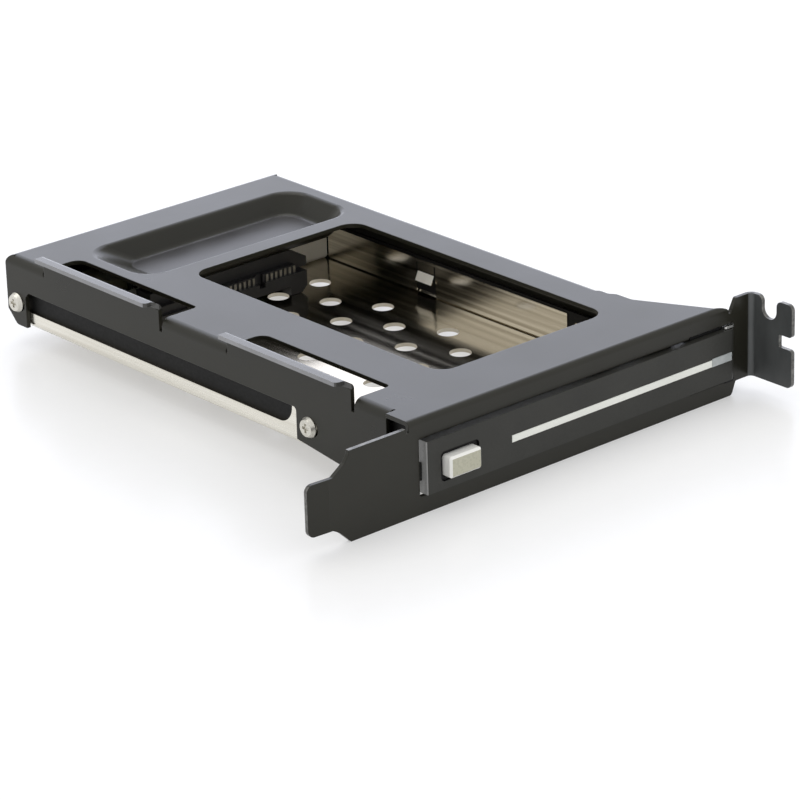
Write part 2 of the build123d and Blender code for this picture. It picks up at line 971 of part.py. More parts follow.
def bay_connector():
    """The plastic body of the connector that the drive plugs on."""
    front = bay_connector_front
    left = bay_connector_left
    right = bay_connector_right
    tongue_right = right - 2.7
    rear = board_front + 1.6
    lower = block(left, right, front, board_front - 0.1, pan_floor + 0.1, bay_lower_top)
    seat = block(left + 1.0, tongue_right, front + 1.0, rear, board_top, bay_lower_top)
    tongue_block = block(left + 1.0, tongue_right, front + 0.9, rear, bay_lower_top, bay_tongue_top)
    upper = across_y(
        [
            (left + 1.0, bay_lower_top),
            (bay_block_right, bay_lower_top),
            (bay_block_right, bay_shoulder_z),
            (bay_block_right - bay_shoulder_width, bay_block_top),
            (left + 1.0, bay_block_top),
        ],
        front + 2.6, rear,
    )
    undercut = block(left + 2.6, right - 4.6, front - 1, board_front + 1, pan_floor - 1, bay_undercut_top)
    split_x = (bay_contact_x(bay_power_contacts - 1) + bay_contact_x(bay_power_contacts)) / 2
    split = block(
        split_x - 0.8, split_x + 0.8, front - 1, front + 1.6, bay_lower_top - 1.0, bay_tongue_top + 1,
    )
    lead_outline = [(right - 1.6, pan_floor), (right + 1, pan_floor), (right + 1, 7.6)]
    lead = across_y(lead_outline, front - 1, front + 3)
    body = merge([lower, seat, tongue_block, upper])
    return cut(body, [undercut, split, lead])


def bay_contacts():
    """The contact blades on the bay connector's tongue."""
    pieces = []
    for i in range(bay_contact_count):
        x = bay_contact_x(i)
        pieces.append(block(
            x - 0.3, x + 0.3, bay_connector_front + 0.65, bay_connector_front + 0.9,
            bay_lower_top, bay_tongue_top - 0.25,
        ))
    return Compound(children=pieces)


def rear_connector_body(left, width, key_side):
    """A rear header: an open plastic shroud with a blade tongue and a key at one end."""
    low = board_top
    high = low + rear_connector_height
    right = left + width
    wall = rear_connector_wall
    body = block(left, right, rear_connector_front, rear_connector_rear, low, high)
    cavity_front = rear_connector_rear - rear_cavity_depth
    cavity = block(left + wall, right - wall, cavity_front, rear_connector_rear + 1, low + wall, high - wall)
    tongue_low_z = (low + high) / 2 - rear_tongue_thickness / 2
    key_x = right - wall - 2.2 if key_side > 0 else left + wall + 1.0
    blade = block(
        left + wall + 1.0, right - wall - 1.0, cavity_front - 0.1, rear_connector_rear - 1.0,
        tongue_low_z, tongue_low_z + rear_tongue_thickness,
    )
    key = block(
        key_x, key_x + 1.2, cavity_front - 0.1, rear_connector_rear - 1.0,
        tongue_low_z - 1.1, tongue_low_z + 0.1,
    )
    return merge([as_shape(cut(body, [cavity])), blade, key])


def rear_contacts(left, width, count):
    """Contact strips on top of a rear header's blade and their feet on the board."""
    pieces = []
    low = board_top
    middle = left + width / 2
    tongue_top = low + rear_connector_height / 2 + rear_tongue_thickness / 2
    cavity_front = rear_connector_rear - rear_cavity_depth
    for i in range(count):
        x = middle + (i - (count - 1) / 2) * rear_contact_pitch
        strip_end = rear_connector_rear - 1.2
        strip = block(x - 0.35, x + 0.35, cavity_front, strip_end, tongue_top, tongue_top + 0.12)
        foot = block(x - 0.3, x + 0.3, rear_connector_front - 1.4, rear_connector_front, low, low + 0.25)
        pieces += [strip, foot]
    return Compound(children=pieces)


def on_board(x, y, width, length, height, lift=0.0):
    """A box on the board, placed from the board's left front corner."""
    left = board_left + x
    front = board_front + y
    low = board_top + lift
    return block(left, left + width, front, front + length, low, low + height)


def filter_capacitor():
    """The large moulded capacitor beside the cut-out."""
    body = on_board(13.7, 2.6, 3.6, 5.2, 3.0)
    return body.fillet(0.3, body.edges().filter_by(Axis.Z))


def capacitor_ends():
    """Metal end caps of the moulded capacitor and two small metal cans beside it."""
    ends = [on_board(14.4, y, 2.2, 0.3, 1.6) for y in (2.3, 7.8)]
    cans = [on_board(x, y, 0.9, 0.9, 0.7) for x, y in ((19.8, 2.3), (19.6, 13.5))]
    return Compound(children=ends + cans)


def power_inductor():
    """The tall moulded inductor beside the rear data connector."""
    right = data_connector_x - inductor_gap
    rear = board_rear - inductor_setback
    body = block(right - inductor_width, right, rear - inductor_length, rear, board_top, board_top + 3.0)
    body = body.fillet(0.5, body.edges().filter_by(Axis.Z))
    return body.chamfer(0.3, None, body.faces().sort_by(Axis.Z)[-1].edges())


def status_chip():
    """The small controller with its body chamfered all round."""
    body = on_board(21.4, 4.4, 5.0, 4.0, 1.4, 0.1)
    return body.chamfer(0.25, None, body.faces().sort_by(Axis.Z)[-1].edges())


def chip_leads():
    """Gull-wing leads of the controller, drawn as flat feet."""
    return Compound(children=[
        on_board(21.8 + i * chip_lead_pitch, y, 0.4, 1.1, 0.3) for i in range(4) for y in (3.3, 8.4)
    ])


def chip_resistors():
    """Small surface parts: some near the board's left edge, some near its step and its right edge."""
    step = board_step_x - board_left
    right = board_right - board_left
    spots = [(8.0, 4.2), (8.0, 8.8), (10.4, 12.0), (29.4, 5.6), (29.4, 9.0), (step - 18.0, 8.6),
             (step - 14.0, 5.6), (step - 10.0, 7.6), (right - 11.0, 11.6)]
    return Compound(children=[on_board(x, y, 1.0, 2.0, 0.6) for x, y in spots])


def side_screws():
    """Round-head screws through the casing walls into the pan."""
    pieces = []
    for side, direction in ((casing_left, 1), (casing_right, -1)):
        for y in side_screw_ys:
            face = (side, y, side_screw_z)
            head = rod(face, (-direction, 0, 0), side_screw_head / 2, side_screw_head_height)
            rim = head.edges().sort_by(Axis.X)[0 if direction > 0 else -1]
            outer_face = head.faces().sort_by(Axis.X)[0 if direction > 0 else -1]
            head = head.chamfer(0.45, 0.8, [rim], face=outer_face)
            shank = rod(face, (direction, 0, 0), side_screw_diameter / 2 - 0.02, side_screw_length - 1.9)
            outer = side - direction * side_screw_head_height
            inner = outer + direction * screw_recess_depth
            x0, x1 = sorted((outer - direction * 0.5, inner))
            half = side_screw_head * 0.22
            width = screw_recess_width / 2
            recess = [
                block(x0, x1, y - half, y + half, side_screw_z - width, side_screw_z + width),
                block(x0, x1, y - width, y + width, side_screw_z - half, side_screw_z + half),
            ]
            pieces.append(as_shape(cut(merge([head, shank]), recess)))
    return Compound(children=pieces)


def door_outline():
    """The door in plan, with its knuckle rounded about the hinge axis."""
    y0 = door_outer_y
    y1 = door_inner_y
    knuckle = hinge_radius
    return [
        (door_left, y0, door_edge_radius),
        (door_right, y0, knuckle * 0.999),
        (door_right, y0 + 2 * knuckle, knuckle * 0.999),
        (hinge_x - 0.4, y0 + 2 * knuckle),
        (hinge_x - 0.4, y1),
        (door_left, y1),
    ]


def door_panel():
    """The door's outer shell with its pocket, light grooves, button recess and pin holes."""
    body = across_z(door_outline(), door_low, door_high)
    pocket_right = window_piece_left - 1.2
    pocket = block(
        door_left + door_rim, pocket_right, pocket_front, door_inner_y + 1,
        door_low + door_rim, door_high - door_rim,
    )
    nose_slot = block(
        door_left - 1, door_left + door_rim + 1, latch_nose_front - 0.1, door_inner_y + 1,
        latch_nose_low - 0.2, latch_nose_high + 0.2,
    )
    groove = block(
        strip_left, window_piece_left, door_outer_y - 1, door_outer_y + light_depth, light_low, light_high,
    )
    window_groove = block(
        window_piece_left, door_right + 1, door_outer_y - 1, door_outer_y + light_depth,
        light_low, light_high + window_piece_extra,
    )
    stem_hole = block(
        window_piece_left + 0.4, window_piece_left + 0.4 + window_stem_width, door_outer_y, door_inner_y + 1,
        light_low, light_high,
    )
    recess = across_y(
        rounded_rectangle(
            button_left - recess_margin, button_right + recess_margin,
            button_low - recess_margin, button_high + recess_margin, 1.0,
        ),
        door_outer_y - 1, door_outer_y + recess_depth,
    )
    button_hole = across_y(
        rounded_rectangle(
            button_left - button_gap, button_right + button_gap,
            button_low - button_gap, button_high + button_gap, button_edge_radius + button_gap,
        ),
        door_outer_y - 1, door_inner_y,
    )
    bore_radius = hinge_pin_diameter / 2 + hinge_hole_gap
    pin_holes = [
        rod((hinge_x, hinge_y, door_low - 1), (0, 0, 1), bore_radius, hinge_pin_depth + 1.2),
        rod((hinge_x, hinge_y, door_high + 1), (0, 0, -1), bore_radius, hinge_pin_depth + 1.2),
    ]
    tools = [pocket, nose_slot, groove, window_groove, stem_hole, recess, button_hole, *pin_holes]
    body = as_shape(cut(body, tools))
    rib_left = latch_right + spring_length
    rib = block(rib_left, rib_left + spring_rib, pocket_front, door_inner_y, door_low + door_rim,
                door_high - door_rim)
    bosses = [
        rod((x, pocket_front, z), (0, 1, 0), door_boss_diameter / 2, door_inner_y - pocket_front)
        for x, z in door_screw_points()
    ]
    bores = [
        rod((x, pocket_front + 0.2, z), (0, 1, 0), door_screw_diameter / 2, 3)
        for x, z in door_screw_points()
    ]
    return cut(merge([body, rib, *bosses]), bores)


def door_screw_points():
    """Centres of the screws that hold the door's back plate."""
    return [(x, z) for x in door_screw_xs for z in door_screw_zs]


def door_screws():
    """Small flat screws in the door's back plate."""
    pieces = []
    for x, z in door_screw_points():
        shank = rod((x, pocket_front + 0.3, z), (0, 1, 0), door_screw_diameter / 2,
                    door_inner_y - pocket_front - 0.2)
        head = rod((x, door_inner_y, z), (0, 1, 0), door_screw_head / 2, door_back_sheet - 0.05)
        top = door_inner_y + door_back_sheet
        slot = block(x - 0.7, x + 0.7, top - 0.25, top, z - 0.15, z + 0.15)
        pieces.append(as_shape(cut(merge([shank, head]), [slot])))
    return Compound(children=pieces)


def door_back():
    """The thin plate that closes the door's pocket from inside."""
    left = door_left + 0.3
    right = hinge_x - 3.2
    points = rounded_rectangle(left, right, door_low + 0.3, door_high - 0.3, 0.6)
    body = across_y(points, door_inner_y, door_inner_y + door_back_sheet)
    stem_hole = block(
        window_piece_left + 0.3, window_piece_left + 0.5 + window_stem_width,
        door_inner_y - 1, door_inner_y + 1, light_low - 0.1, light_high + 0.1,
    )
    screw_holes = [
        rod((x, door_inner_y - 1, z), (0, 1, 0), door_screw_head / 2 + 0.1, 3)
        for x, z in door_screw_points()
    ]
    return cut(body, [stem_hole, *screw_holes])


def light_strip():
    """The pale strip set in the door's face."""
    gap = 0.03
    body = block(
        strip_left + gap, window_piece_left - gap, door_outer_y - light_proud, door_outer_y + light_depth,
        light_low + gap, light_high - gap,
    )
    return body.chamfer(0.1, None, body.faces().sort_by(Axis.Y)[0].edges())


def led_window():
    """The clear window at the hinge end with a stem that brings the light forward."""
    gap = 0.03
    top = light_high + window_piece_extra - gap
    face = across_z(
        [
            (window_piece_left, door_outer_y - light_proud),
            (hinge_x, door_outer_y - light_proud),
            (door_right - 0.3, door_outer_y + light_depth, 0.5),
            (window_piece_left, door_outer_y + light_depth),
        ],
        light_low + gap, top,
    )
    stem = block(
        window_piece_left + 0.4 + gap, window_piece_left + 0.4 + window_stem_width - gap,
        door_outer_y + light_depth - 0.1, door_inner_y + door_back_sheet, light_low + gap, light_high - gap,
    )
    return merge([face, stem])


def button():
    """The push button with a flange behind the door's face; its right edge is the cam."""
    front = door_outer_y - button_proud
    flange_front = pocket_front + button_play
    flange_rear = flange_front + button_flange_sheet
    left = button_left - button_flange
    right = button_right + button_flange
    cap = across_y(
        rounded_rectangle(button_left, button_right, button_low, button_high, button_edge_radius),
        front, flange_front + 0.1,
    )
    cap = cap.chamfer(button_bevel, None, cap.faces().sort_by(Axis.Y)[0].edges())
    flange = across_z(
        [
            (left, flange_front),
            (right, flange_front),
            (right, flange_rear - cam_chamfer),
            (right - cam_chamfer, flange_rear),
            (left, flange_rear),
        ],
        button_low - button_flange, button_high + button_flange,
    )
    return merge([cap, flange])


def latch():
    """The sliding latch: a bar over the button, a nose leg at the left and a cam leg at the right."""
    front = pocket_front + latch_gap
    rear = door_inner_y - latch_gap
    left = door_left + door_rim + 0.1
    bar = block(left, latch_right, front, rear, button_high + button_flange + 0.2, latch_high)
    leg = block(left, left + latch_leg_width, front, rear, latch_low, latch_high)
    nose = across_z(
        [
            (latch_nose_x, latch_nose_front),
            (left + 0.2, latch_nose_front),
            (left + 0.2, rear),
            (latch_nose_x + 0.4, rear),
            (latch_nose_x, rear - 0.4),
        ],
        latch_nose_low, latch_nose_high,
    )
    flange_rear = pocket_front + button_play + button_flange_sheet
    cam_line = button_right + button_flange + flange_rear - cam_chamfer + cam_gap * math.sqrt(2)
    cam_leg = across_z(
        [
            (cam_line - rear, rear),
            (cam_line - front, front),
            (latch_right, front),
            (latch_right, rear),
        ],
        latch_low, latch_high,
    )
    return merge([bar, leg, nose, cam_leg])


def latch_spring():
    """The flat zigzag spring that pushes the latch's nose out."""
    front = pocket_front + spring_side_gap
    rear = door_inner_y - spring_side_gap
    first = latch_right + spring_gap
    pitch = (spring_length - 2 * spring_gap - spring_wire) / (spring_bars - 1)
    pieces = []
    for i in range(spring_bars):
        x = first + i * pitch
        pieces.append(block(x, x + spring_wire, front, rear, spring_low, spring_high))
        if i > 0:
            low = spring_high - spring_wire if i % 2 else spring_low
            pieces.append(block(x - pitch, x + spring_wire, front, rear, low, low + spring_wire))
    return merge(pieces)


def catch_spring():
    """The leaf spring behind the bracket plate whose folded tip holds the latch's nose."""
    back = sheet + 0.02
    near = opening_left + 0.05
    bend = near + catch_sheet
    profile = [
        (catch_left, back + catch_sheet),
        (catch_left, back),
        (near, back),
        (near, catch_tip_y),
        (catch_tip_x, catch_tip_y),
        (catch_tip_x, catch_tip_y + catch_sheet),
        (bend, catch_tip_y + catch_sheet),
        (bend, back + catch_sheet),
    ]
    return across_z(profile, catch_low, catch_high)


def hinge_bracket():
    """The folded bracket with two lugs that carry the door's pins."""
    back = sheet + 0.02
    nose_left = hinge_x - hinge_radius
    nose_right = opening_right - 0.2
    plan = [
        (lug_left, lug_front),
        (nose_left, lug_front),
        (nose_left, lug_nose, 0.5),
        (nose_right, lug_nose, 0.5),
        (nose_right, back),
        (hinge_base_right, back),
        (hinge_base_right, lug_rear, 0.5),
        (lug_left, lug_rear, 0.5),
    ]
    upper = across_z(plan, lug_top_low, lug_top_low + lug_thickness)
    lower = across_z(plan, lug_bottom_high - lug_thickness, lug_bottom_high)
    base = block(
        hinge_base_left, hinge_base_right, back, back + lug_thickness,
        lug_bottom_high - lug_thickness, lug_top_low + lug_thickness,
    )
    bore = rod((hinge_x, hinge_y, door_low - 3), (0, 0, 1), hinge_pin_diameter / 2, door_high)
    return cut(merge([upper, lower, base]), [bore])


def hinge_pins():
    """Short pins in the lugs that reach into the ends of the door's knuckle."""
    reach = lug_thickness + lug_gap + hinge_pin_depth
    upper = rod((hinge_x, hinge_y, lug_top_low + lug_thickness), (0, 0, -1), hinge_pin_diameter / 2, reach)
    lower = rod((hinge_x, hinge_y, lug_bottom_high - lug_thickness), (0, 0, 1), hinge_pin_diameter / 2, reach)
    return Compound(children=[upper, lower])


def led_holder():
    """The moulded holder between the lugs, with a pocket for the light board."""
    body = block(
        led_holder_left, led_holder_right, led_holder_front, led_holder_rear, lug_bottom_high, lug_top_low,
    )
    pocket = block(
        led_holder_left + led_wall, led_holder_right - led_wall,
        led_holder_front + led_wall, led_holder_rear + 1,
        lug_bottom_high + led_wall, lug_top_low - led_wall,
    )
    stem_left = window_piece_left + 0.4
    hole = block(stem_left, stem_left + window_stem_width, led_holder_front - 1, led_holder_rear, light_low,
                 light_high)
    return cut(body, [pocket, hole])


def led_board():
    """The small board that carries the status lights."""
    gap = led_wall + 0.1
    rear = led_holder_rear - 0.2
    return block(
        led_holder_left + gap, led_holder_right - gap, rear - led_board_thickness, rear,
        lug_bottom_high + gap, lug_top_low - gap,
    )


def status_leds():
    """Two surface lights on the front of the light board."""
    face = led_holder_rear - 0.2 - led_board_thickness
    middle_x = window_piece_left + 0.4 + window_stem_width / 2
    middle_z = (light_low + light_high) / 2
    pieces = []
    for shift in (0, -led_spacing):
        x = middle_x + shift
        pieces.append(block(x - 0.7, x + 0.7, face - led_depth, face, middle_z - led_width / 2,
                            middle_z + led_width / 2))
    return Compound(children=pieces)


def save_all():
    """Writes every node of the rack."""
    save("cover", cover())
    save("pan", pan())
    save("left_guide_rail", guide_rail(pan_left + pan_sheet, bay_left - strip_sheet))
    save("right_guide_rail", guide_rail(pan_right - pan_sheet, bay_right + strip_sheet))
    save("left_spring_strip", spring_strip(bay_left - strip_sheet, 1))
    save("right_spring_strip", spring_strip(bay_right + strip_sheet, -1))
    save("rear_stop", rear_stop())
    save("backplane_board", backplane_board())
    save("board_standoffs", standoffs())
    save("board_screws", board_screws())
    save("bay_connector", bay_connector())
    save("bay_contacts", bay_contacts())
    save("data_connector", rear_connector_body(data_connector_x, data_connector_width, 1))
    save("data_contacts", rear_contacts(data_connector_x, data_connector_width, data_contact_count))
    save("power_connector", rear_connector_body(power_connector_x, power_connector_width, -1))
    save("power_contacts", rear_contacts(power_connector_x, power_connector_width, power_contact_count))
    save("filter_capacitor", filter_capacitor())
    save("capacitor_ends", capacitor_ends())
    save("power_inductor", power_inductor())
    save("status_chip", status_chip())
    save("chip_leads", chip_leads())
    save("chip_resistors", chip_resistors())
    save("side_screws", side_screws())
    save("door_panel", door_panel())
    save("door_back", door_back())
    save("light_strip", light_strip())
    save("led_window", led_window())
    save("button", button())
    save("latch", latch())
    save("latch_spring", latch_spring())
    save("door_screws", door_screws())
    save("catch_spring", catch_spring())
    save("hinge_bracket", hinge_bracket())
    save("hinge_pins", hinge_pins())
    save("led_holder", led_holder())
    save("led_board", led_board())
    save("status_leds", status_leds())


save_all()
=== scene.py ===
"""Look of the hard drive mobile rack: paint, bare steel, plastics, soft studio light and the camera."""

import math

import bpy
from mathutils import Matrix, Vector

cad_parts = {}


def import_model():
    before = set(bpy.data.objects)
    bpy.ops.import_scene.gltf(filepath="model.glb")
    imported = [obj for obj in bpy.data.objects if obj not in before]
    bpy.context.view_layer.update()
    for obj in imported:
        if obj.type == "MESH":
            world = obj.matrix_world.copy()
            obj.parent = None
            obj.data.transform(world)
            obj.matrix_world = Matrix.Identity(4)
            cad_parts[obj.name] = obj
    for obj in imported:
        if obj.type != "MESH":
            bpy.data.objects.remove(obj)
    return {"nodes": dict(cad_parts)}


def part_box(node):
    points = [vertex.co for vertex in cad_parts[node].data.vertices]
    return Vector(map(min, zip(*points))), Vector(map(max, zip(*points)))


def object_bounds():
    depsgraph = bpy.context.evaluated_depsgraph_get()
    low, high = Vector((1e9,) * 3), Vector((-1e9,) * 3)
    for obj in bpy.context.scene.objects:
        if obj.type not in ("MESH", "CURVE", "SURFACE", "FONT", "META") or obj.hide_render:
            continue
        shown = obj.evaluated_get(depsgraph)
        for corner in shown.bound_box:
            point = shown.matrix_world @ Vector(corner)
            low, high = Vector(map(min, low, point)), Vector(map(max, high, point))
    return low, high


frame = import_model()
cad_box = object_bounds()

# Camera, solved from the straight edges in the photograph: degrees, metres, and millimetres for the lens
CAMERA_AZIMUTH = -40.575
CAMERA_ELEVATION = 22.431
CAMERA_ROLL = -1.703
CAMERA_DISTANCE = 0.80433
CAMERA_AIM = (0.055, 0.060, 0.010)
CAMERA_OFFSET_RIGHT = 0.00769
CAMERA_OFFSET_UP = -0.01341
CAMERA_LENS = 173.4
SENSOR_WIDTH = 36.0

# Stage and light
FLOOR_SIZE = 6.0
FLOOR_COLOR = (0.88, 0.88, 0.88)
FLOOR_TONE = 0.99
FLOOR_GRAIN = (300, 300, 300)
FLOOR_WHITE_SHARE = 0.4
WORLD_LIGHT = 0.82
KEY_WATTS = 4.0
KEY_SIZE = 0.9
KEY_POSITION = (0.1, 0.35, 1.1)
KEY_COLOR = (1.0, 0.99, 0.96)
BACK_WATTS = 7.8
BACK_SIZE = 1.3
BACK_POSITION = (0.757, 0.882, 0.536)
BACK_COLOR = (0.76, 0.81, 1.0)

# The part of a noise pattern's range that a finish follows
PATTERN_LOW = 0.3
PATTERN_HIGH = 0.7

# Bare metals, two of them also carrying painted light: darkest and lightest colour, roughness from and to,
# and grain in cells per metre
ROLLING_GRAIN = (40, 1400, 1400)
FINE_GRAIN = (900, 900, 900)
METALS = {
    "pan_steel": dict(
        darkest=(0.50, 0.455, 0.37), lightest=(0.62, 0.575, 0.485),
        roughness=(0.10, 0.20), grain=(700, 14, 700),
    ),
    # Painted light: a lighter copy of the pan steel for the outer face of the pan's left wall
    "pan_side_painted_light": dict(
        darkest=(0.76, 0.73, 0.65), lightest=(0.88, 0.86, 0.79),
        roughness=(0.20, 0.32), grain=(1400, 12, 1400),
    ),
    "strip_steel": dict(
        darkest=(0.36, 0.32, 0.25), lightest=(0.88, 0.84, 0.74),
        roughness=(0.10, 0.22), grain=(600, 7, 900),
    ),
    # Pale steel for the rear stop; on the sprung fingers the same colour is painted light, for light from
    # the window above
    "pale_steel_and_painted_light": dict(
        darkest=(0.93, 0.90, 0.82), lightest=(0.98, 0.96, 0.90),
        roughness=(0.55, 0.70), grain=(300, 300, 60),
    ),
    "dark_spring": dict(
        darkest=(0.03, 0.03, 0.028), lightest=(0.05, 0.05, 0.046),
        roughness=(0.4, 0.5), grain=ROLLING_GRAIN,
    ),
    "nickel": dict(
        darkest=(0.30, 0.29, 0.26), lightest=(0.42, 0.41, 0.37),
        roughness=(0.30, 0.42), grain=FINE_GRAIN,
    ),
    "screw_zinc": dict(
        darkest=(0.62, 0.60, 0.54), lightest=(0.74, 0.72, 0.66),
        roughness=(0.34, 0.46), grain=FINE_GRAIN,
    ),
    "zinc": dict(
        darkest=(0.50, 0.50, 0.48), lightest=(0.64, 0.64, 0.62),
        roughness=(0.22, 0.34), grain=(700, 700, 700),
    ),
    "gold_contacts": dict(
        darkest=(0.70, 0.52, 0.24), lightest=(0.82, 0.64, 0.34),
        roughness=(0.22, 0.32), grain=FINE_GRAIN,
    ),
}
METAL_BUMP = 0.05
METAL_BUMP_DEPTH = 0.00003

# Moulded plastics, painted highlights on small glossy edges, painted light on board parts and painted shade
# in the button recess: colour, roughness, change of tone, and grain in cells per metre
MOULDINGS = {
    "black_moulding": dict(color=(0.016, 0.016, 0.017), rough=0.42),
    # Near-black, darker than the other black plastics: painted shade for the dark band of the rails below
    # the left wall and in the button recess; the own black of the latch, LED holder and hinge bracket
    "rail_black_and_painted_shade": dict(color=(0.005, 0.005, 0.005), rough=0.50, ior=1.28),
    "door_moulding": dict(color=(0.026, 0.026, 0.022), rough=0.42, ior=1.40),
    "button_moulding": dict(color=(0.50, 0.49, 0.38), rough=0.28, variation=0.05),
    "strip_moulding": dict(color=(0.90, 0.91, 0.85), rough=0.32, variation=0.03),
    # Painted light: the board parts are lighter than their own grey and olive, for light reaching them in
    # the cut-out
    "part_grey_painted_light": dict(color=(0.62, 0.62, 0.52), rough=0.45),
    "part_olive": dict(color=(0.42, 0.39, 0.25), rough=0.5, variation=0.3, grain=700),
    "light_body": dict(color=(0.85, 0.86, 0.80), rough=0.2, variation=0.03),
    # Painted highlight: near-white on the button's bevels and sides
    "button_bevel_painted_highlight": dict(color=(0.95, 0.945, 0.90), rough=0.18, variation=0.02),
    # Painted highlight: mid grey on the door's rounded left end
    "door_end_painted_highlight": dict(color=(0.30, 0.30, 0.295), rough=0.30),
    # Painted highlight: lighter paint on the inside of the fold to the screw tab
    "tab_bend_painted_highlight": dict(color=(0.085, 0.09, 0.09), rough=0.34, variation=0.2, grain=900),
    # Painted highlight: light grey on the outer edges of the lips
    "lip_edge_painted_highlight": dict(color=(0.26, 0.26, 0.27), rough=0.22, variation=0.15),
}
MOULDED_CLOUDS = (90, 90, 90)
MOULDED_BUMP = 0.12
MOULDED_BUMP_DEPTH = 0.00004
SMOOTHER = 0.05
ROUGHER = 0.06

# Boxes of the pieces that get a second finish
cover_low, cover_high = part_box("cover")
pan_low, pan_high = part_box("pan")
strip_low, strip_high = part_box("left_spring_strip")
hinge_low, hinge_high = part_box("hinge_bracket")
door_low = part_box("door_panel")[0]
button_low, button_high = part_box("button")

# Places where a second finish starts, in metres
lip_fold_z = cover_high.z - 0.0013
lip_edge_x = pan_low.x - 0.00305
dish_floor_z = cover_high.z - 0.0075
dish_floor_gap = 0.0003
finger_front_y = strip_low.y + 0.0415
finger_rear_y = strip_low.y + 0.0475
finger_top_z = strip_high.z - 0.0005
tab_x = cover_high.x - 0.00222
tab_rear_y = -0.0005
tab_bend_x = cover_high.x - 0.00212
tab_bend_front_y = -0.0013
tongue_edge_x = cover_low.x + 0.0007
plate_end_x = pan_low.x - 0.00115
plate_top_z = pan_high.z + 0.0047
plate_gap_y = 0.001
pan_side_x = pan_low.x + 0.00135
hinge_nose_x = hinge_high.x - 0.0091
hinge_nose_y = hinge_low.y + 0.0014
hinge_nose_z = hinge_high.z - 0.00395
door_face_y = door_low.y + 0.0001
door_side_x = door_low.x + 0.0003
recess_margin = 0.001

# How far a face's normal leans towards an axis
FLAT = 0.95
NEARLY_FLAT = 0.8
HALF = 0.5
BEND_LEAN = (0.1, 0.98)
SIDE_LEAN = 0.3
FINGER_LEAN = 0.05
FRONT_LEAN = 0.9


def as_color(value):
    """RGBA from a grey number or an RGB triple."""
    if isinstance(value, (int, float)):
        return (value, value, value, 1.0)
    return (*value, 1.0)


def seen_ray(tree):
    """A factor of 1 for camera, glossy and transmission rays, and 0 for the light that falls on things."""
    path = tree.nodes.new("ShaderNodeLightPath")
    factor = path.outputs["Is Camera Ray"]
    for name in ("Is Glossy Ray", "Is Transmission Ray"):
        either = tree.nodes.new("ShaderNodeMath")
        either.operation = "MAXIMUM"
        tree.links.new(factor, either.inputs[0])
        tree.links.new(path.outputs[name], either.inputs[1])
        factor = either.outputs["Value"]
    return factor


class Shader:
    """A node material with a principled shader and short helpers for its inputs."""

    def __init__(self, name):
        self.material = bpy.data.materials.new(name)
        self.material.use_nodes = True
        self.tree = self.material.node_tree
        self.principled = self.tree.nodes["Principled BSDF"]
        coordinates = self.tree.nodes.new("ShaderNodeTexCoord")
        self.place = coordinates.outputs["Object"]

    def node(self, kind, **values):
        """A node with its plain properties set."""
        made = self.tree.nodes.new(kind)
        for key, value in values.items():
            setattr(made, key, value)
        return made

    def link(self, source, target):
        self.tree.links.new(source, target)

    def set(self, **values):
        """Constant values on the principled shader's own sockets."""
        for key, value in values.items():
            self.principled.inputs[key.replace("_", " ")].default_value = value

    def stretched(self, scale):
        """Object coordinates scaled per axis, in pattern cells per metre."""
        mapping = self.node("ShaderNodeMapping")
        mapping.inputs["Scale"].default_value = scale
        self.link(self.place, mapping.inputs["Vector"])
        return mapping.outputs["Vector"]

    def noise(self, scale, detail):
        """Noise with a scale per axis."""
        noise = self.node("ShaderNodeTexNoise")
        noise.inputs["Scale"].default_value = 1.0
        noise.inputs["Detail"].default_value = detail
        self.link(self.stretched(scale), noise.inputs["Vector"])
        return noise.outputs["Fac"]

    def tone(self, pattern, darkest, lightest, start=PATTERN_LOW, end=PATTERN_HIGH):
        """A base colour that follows a pattern."""
        ramp = self.node("ShaderNodeValToRGB")
        elements = ramp.color_ramp.elements
        elements[0].position = start
        elements[1].position = end
        elements[0].color = as_color(darkest)
        elements[1].color = as_color(lightest)
        self.link(pattern, ramp.inputs["Fac"])
        self.link(ramp.outputs["Color"], self.principled.inputs["Base Color"])

    def gloss(self, pattern, smoothest, roughest):
        """A roughness that follows a pattern."""
        mapped = self.node("ShaderNodeMapRange")
        mapped.inputs["From Min"].default_value = PATTERN_LOW
        mapped.inputs["From Max"].default_value = PATTERN_HIGH
        mapped.inputs["To Min"].default_value = smoothest
        mapped.inputs["To Max"].default_value = roughest
        self.link(pattern, mapped.inputs["Value"])
        self.link(mapped.outputs["Result"], self.principled.inputs["Roughness"])

    def bump(self, height, strength, distance, edge=0.0):
        """Bump from a height, in metres, over edges softened by a small radius."""
        bump = self.node("ShaderNodeBump")
        bump.inputs["Strength"].default_value = strength
        bump.inputs["Distance"].default_value = distance
        self.link(height, bump.inputs["Height"])
        if edge > 0:
            soft = self.node("ShaderNodeBevel", samples=6)
            soft.inputs["Radius"].default_value = edge
            self.link(soft.outputs["Normal"], bump.inputs["Normal"])
        self.link(bump.outputs["Normal"], self.principled.inputs["Normal"])

    def whiten(self, share):
        """Mixes plain white into what the camera and reflections see, and keeps the rest of the shading."""
        white = self.node("ShaderNodeEmission")
        white.inputs["Color"].default_value = as_color(1.0)
        amount = self.node("ShaderNodeMath", operation="MULTIPLY")
        self.link(seen_ray(self.tree), amount.inputs[0])
        amount.inputs[1].default_value = share
        mix = self.node("ShaderNodeMixShader")
        self.link(amount.outputs["Value"], mix.inputs["Fac"])
        self.link(self.principled.outputs["BSDF"], mix.inputs[1])
        self.link(white.outputs["Emission"], mix.inputs[2])
        self.link(mix.outputs["Shader"], self.tree.nodes["Material Output"].inputs["Surface"])


